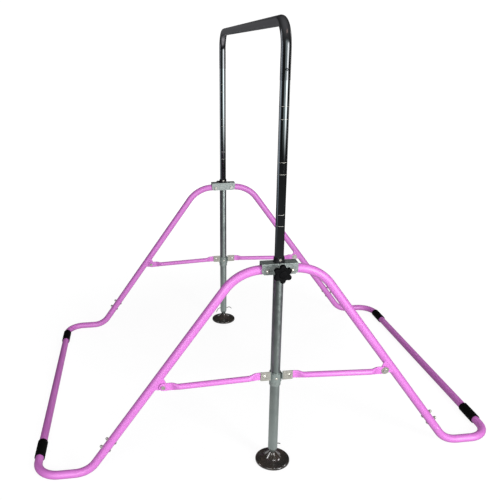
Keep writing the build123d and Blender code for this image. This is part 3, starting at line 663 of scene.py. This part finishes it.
def surroundings():
    """White to the camera. To everything else it is a dim room with a few tall, bright windows."""
    world = bpy.data.worlds.new("studio")
    bpy.context.scene.world = world
    world.use_nodes = True
    tree = world.node_tree
    tree.nodes.clear()
    direction = tree.nodes.new("ShaderNodeTexCoord")
    direction.name = "Direction"
    split = tree.nodes.new("ShaderNodeSeparateXYZ")
    tree.links.new(direction.outputs["Generated"], split.inputs[0])
    ramp = tree.nodes.new("ShaderNodeValToRGB")
    shift = tree.nodes.new("ShaderNodeMapRange")
    shift.inputs["From Min"].default_value = -1.0
    tree.links.new(split.outputs["Z"], shift.inputs["Value"])
    tree.links.new(shift.outputs["Result"], ramp.inputs["Fac"])
    stops = [(0.0, 0.25), (0.28, 0.05), (0.42, 0.010), (0.56, 0.015), (0.80, 0.05), (1.0, 0.12)]
    elements = ramp.color_ramp.elements
    while len(elements) < len(stops):
        elements.new(0.5)
    for element, (place, value) in zip(elements, stops):
        element.position = place
        element.color = (value, value * 1.02, value * 1.05, 1.0)
    total = ramp.outputs["Color"]
    for strip in STRIPS:
        band = world_strip(tree, *strip)
        add = tree.nodes.new("ShaderNodeVectorMath")
        tree.links.new(total, add.inputs[0])
        tree.links.new(band, add.inputs[1])
        total = add.outputs["Vector"]
    room = tree.nodes.new("ShaderNodeBackground")
    tree.links.new(total, room.inputs["Color"])
    room.inputs["Strength"].default_value = 1.0
    white = tree.nodes.new("ShaderNodeBackground")
    white.inputs["Color"].default_value = (1.0, 1.0, 1.0, 1.0)
    white.inputs["Strength"].default_value = 1.05
    path = tree.nodes.new("ShaderNodeLightPath")
    choose = tree.nodes.new("ShaderNodeMixShader")
    tree.links.new(path.outputs["Is Camera Ray"], choose.inputs["Fac"])
    tree.links.new(room.outputs[0], choose.inputs[1])
    tree.links.new(white.outputs[0], choose.inputs[2])
    output = tree.nodes.new("ShaderNodeOutputWorld")
    tree.links.new(choose.outputs[0], output.inputs["Surface"])


# The windows: azimuth, half width, low, high, colour, strength
STRIPS = [
    (34.0, 14.0, -0.13, 0.30, (0.97, 1.0, 1.0), 1.60),
    (4.0, 24.0, -0.12, 0.45, (0.85, 1.0, 1.0), 0.30),
    (-95.0, 5.0, -0.28, 0.20, (0.75, 0.85, 1.0), 0.45),
    (180.0, 25.0, -0.35, 0.22, (0.95, 0.95, 1.0), 0.085),
    (122.0, 5.0, -0.15, 0.35, (1.0, 0.98, 0.95), 0.9),
    (-120.0, 6.0, -0.20, 0.35, (0.9, 0.95, 1.0), 0.8),
    (16.0, 5.0, 0.80, 0.87, (1.0, 0.70, 0.60), 0.9),
    (40.0, 5.0, 0.80, 0.87, (1.0, 0.70, 0.60), 0.9),
]

# The feet's own lights: place, width, height, power
FOOT_LIGHTS = [
    ((0.33, -1.80, 0.90), 0.40, 1.10, 20.0),
    ((0.52, 1.50, 1.50), 0.45, 0.70, 16.0),
    ((1.50, 0.18, 1.90), 0.16, 0.30, 3.0),
    ((1.50, 0.66, 1.90), 0.16, 0.30, 3.0),
]

surroundings()
floor()
key = softbox("key", (3.4, 1.85, 1.30), (0.5, 0.0, 0.9), 1.05, 2.0, 108.0, mirrored=True)
front_fill = softbox("front_fill", (2.9, -1.3, 1.1), (0.6, 0.0, 0.6), 1.6, 1.8, 46.0, mirrored=True)
softbox("top", (0.4, 0.5, 4.2), (0.0, 0.0, 0.5), 3.0, 3.0, 30.0)
softbox("back_fill", (-3.6, 1.0, 1.8), (0.0, 0.0, 0.6), 2.4, 2.0, 40.0)

# The chromed tubes take their streaks from the surroundings alone, and the zinc tubes take no front fill.
key_lit = bpy.data.collections.new("key_lit")
fill_lit = bpy.data.collections.new("fill_lit")
for shown in list(bpy.context.scene.objects):
    if shown.type == "MESH" and shown.get("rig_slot") not in ("post_chrome", "bar_chrome"):
        key_lit.objects.link(shown)
        if shown.get("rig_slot") != "zinc_tube":
            fill_lit.objects.link(shown)
key.light_linking.receiver_collection = key_lit
front_fill.light_linking.receiver_collection = fill_lit

# Small lights that only the enamelled feet take: their streaks on the hubs.
feet_lit = bpy.data.collections.new("feet_lit")
for side_name in SIDES:
    feet_lit.objects.link(bpy.data.objects[f"bell_foot_{side_name}"])
for number, (place, width, height, power) in enumerate(FOOT_LIGHTS):
    glint = softbox(f"foot_light_{number}", place, (POST_X, 0.0, 0.03), width, height, power, mirrored=True)
    glint.light_linking.receiver_collection = feet_lit

view_settings = bpy.context.scene.view_settings
view_settings.view_transform = "Standard"
view_settings.look = "None"


# --- Camera ---------------------------------------------------------------------------------------------

def photo_camera():
    """Camera just above head height, to the +X side and a little in front, looking down along the bar."""
    azimuth = math.radians(83.446)
    pitch = math.radians(21.844)
    roll = math.radians(-0.908)
    level = math.cos(pitch)
    back = Vector((math.sin(azimuth) * level, -math.cos(azimuth) * level, math.sin(pitch)))
    right = (-back).cross(Vector((0, 0, 1))).normalized()
    up = right.cross(-back)
    rolled_right = math.cos(roll) * right + math.sin(roll) * up
    rolled_up = math.cos(roll) * up - math.sin(roll) * right
    data = bpy.data.cameras.new("camera")
    data.sensor_width = 36.0
    data.lens = 41.705
    data.shift_x = 0.088
    data.shift_y = 0.0647
    data.clip_start = 0.05
    data.clip_end = 60.0
    made = bpy.data.objects.new("camera", data)
    bpy.context.scene.collection.objects.link(made)
    turn = Matrix((rolled_right, rolled_up, back)).transposed()
    made.matrix_world = Matrix.Translation((2.3182, -0.4326, 1.4119)) @ turn.to_4x4()
    bpy.context.scene.camera = made


photo_camera()
